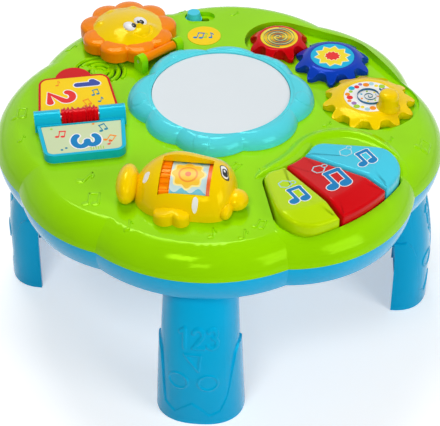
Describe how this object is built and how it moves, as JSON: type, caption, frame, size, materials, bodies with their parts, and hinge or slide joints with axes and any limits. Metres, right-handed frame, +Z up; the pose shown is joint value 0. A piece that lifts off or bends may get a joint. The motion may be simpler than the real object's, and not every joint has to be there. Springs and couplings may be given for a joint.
{
  "type": "musical activity table",
  "caption": "Low round play table with a lobed top, a drum, meshing gears, piano keys, a picture roller, a page and a lidded lion on channel legs.",
  "frame": {"origin": "on the floor, under the middle of the table", "axes": "+Z up; +Y from the front leg and the fish towards the lion and the switch; +X towards the yellow gear"},
  "size_m": [0.3042, 0.3022, 0.1665],
  "materials": {
    "green": "smooth moulded gloss",
    "blue": "smooth moulded gloss",
    "cyan": "smooth moulded gloss",
    "yellow": "smooth moulded gloss",
    "orange": "smooth moulded gloss",
    "red": "smooth moulded gloss",
    "dark_blue": "smooth moulded gloss",
    "lime": "smooth moulded gloss",
    "white": "smooth moulded gloss",
    "black": "smooth moulded gloss",
    "card": "printed film with a satin finish",
    "translucent": "translucent milky skin",
    "mirror": "soft mirror film",
    "steel": "plated steel",
    "board": "lacquered circuit board",
    "cell": "printed sleeve",
    "lamp": "clear coloured lamp",
    "silicone": "soft rubber domes",
    "dark": "dark moulded"
  },
  "bodies": {
    "table": {"top_shell": "green", "base_shell": "blue", "leg_front": "blue", "leg_right": "blue", "leg_back": "blue", "leg_left": "blue", "battery_door": "blue", "battery_door_screw": "steel", "batteries": "cell", "battery_contacts": "steel", "circuit_board": "board", "led_lamps": "lamp", "drum_domes": "silicone", "speaker": "dark", "speaker_clamp": "white", "case_screws": "steel", "label_disc": "card", "drum_ring": "cyan", "drum_reflector": "white", "gear_screws": "steel", "key_pins": "steel", "key_board": "board", "key_domes": "silicone", "fish_body": "yellow", "fish_eyes": "white", "roller_axle": "steel", "book_tray": "cyan", "tray_card": "card", "book_pin": "steel", "lion_pin": "steel", "lion_mirror": "mirror", "switch_body": "dark"},
    "drum_pad": {"drum_skin": "translucent"},
    "big_gear": {"gear_big": "yellow", "gear_big_face": "card", "gear_knob": "yellow"},
    "middle_gear": {"gear_middle": "dark_blue", "gear_middle_face": "card"},
    "small_gear": {"gear_small": "red", "gear_small_face": "card"},
    "front_key": {"key_front": "lime"},
    "middle_key": {"key_middle": "red"},
    "rear_key": {"key_rear": "cyan"},
    "roller": {"roller_drum": "orange", "roller_band": "card", "roller_grip": "orange"},
    "page": {"book_page": "red", "page_card": "card"},
    "lion_lid": {"lion_mane": "orange", "lion_face": "yellow", "lion_eyes": "white", "lion_pupils": "black"},
    "switch": {"switch_knob": "cyan"}
  },
  "joints": [
    {"name": "lion_lid_hinge", "type": "hinge", "parent": "table", "child": "lion_lid", "pos_m": [-0.042, 0.06454, 0.1501], "axis": [0.7547, 0.6561, 0], "range_deg": [0, 100]},
    {"name": "drum_press", "type": "slide", "parent": "table", "child": "drum_pad", "axis": [0, 0, -1], "range_m": [0, 0.002], "stiffness_N_per_m": 1500, "springref_m": -0.001},
    {"name": "big_gear_spin", "type": "hinge", "parent": "table", "child": "big_gear", "pos_m": [0.1031, 0.01801, 0.14], "axis": [0, 0, 1], "continuous": true},
    {"name": "middle_gear_spin", "type": "hinge", "parent": "table", "child": "middle_gear", "pos_m": [0.0805, 0.0667, 0.14], "axis": [0, 0, 1], "continuous": true},
    {"name": "small_gear_spin", "type": "hinge", "parent": "table", "child": "small_gear", "pos_m": [0.0435, 0.09036, 0.14], "axis": [0, 0, 1], "continuous": true},
    {"name": "front_key_press", "type": "hinge", "parent": "table", "child": "front_key", "pos_m": [0.03413, -0.0595, 0.134], "axis": [0.9367, 0.3502, 0], "range_deg": [0, 3.5], "stiffness_Nm_per_rad": 1, "springref_deg": -2.86},
    {"name": "middle_key_press", "type": "hinge", "parent": "table", "child": "middle_key", "pos_m": [0.04699, -0.05162, 0.134], "axis": [0.7373, 0.6756, 0], "range_deg": [0, 3.5], "stiffness_Nm_per_rad": 1, "springref_deg": -2.86},
    {"name": "rear_key_press", "type": "hinge", "parent": "table", "child": "rear_key", "pos_m": [0.05595, -0.0395, 0.134], "axis": [0.4305, 0.9026, 0], "range_deg": [0, 3.5], "stiffness_Nm_per_rad": 1, "springref_deg": -2.86},
    {"name": "roller_spin", "type": "hinge", "parent": "table", "child": "roller", "pos_m": [-0.018, -0.086, 0.142], "axis": [0.9925, -0.1219, 0], "continuous": true},
    {"name": "page_turn", "type": "hinge", "parent": "table", "child": "page", "pos_m": [-0.093, -0.009, 0.148], "axis": [0.9869, 0.1616, 0], "range_deg": [0, 180]},
    {"name": "power_switch_slide", "type": "slide", "parent": "table", "child": "switch", "axis": [1, 0, 0], "range_m": [0, 0.009]}
  ],
  "couplings": [
    {"joint": "middle_gear_spin", "follows": "big_gear_spin", "ratio": -1.2},
    {"joint": "small_gear_spin", "follows": "big_gear_spin", "ratio": 1.5}
  ]
}
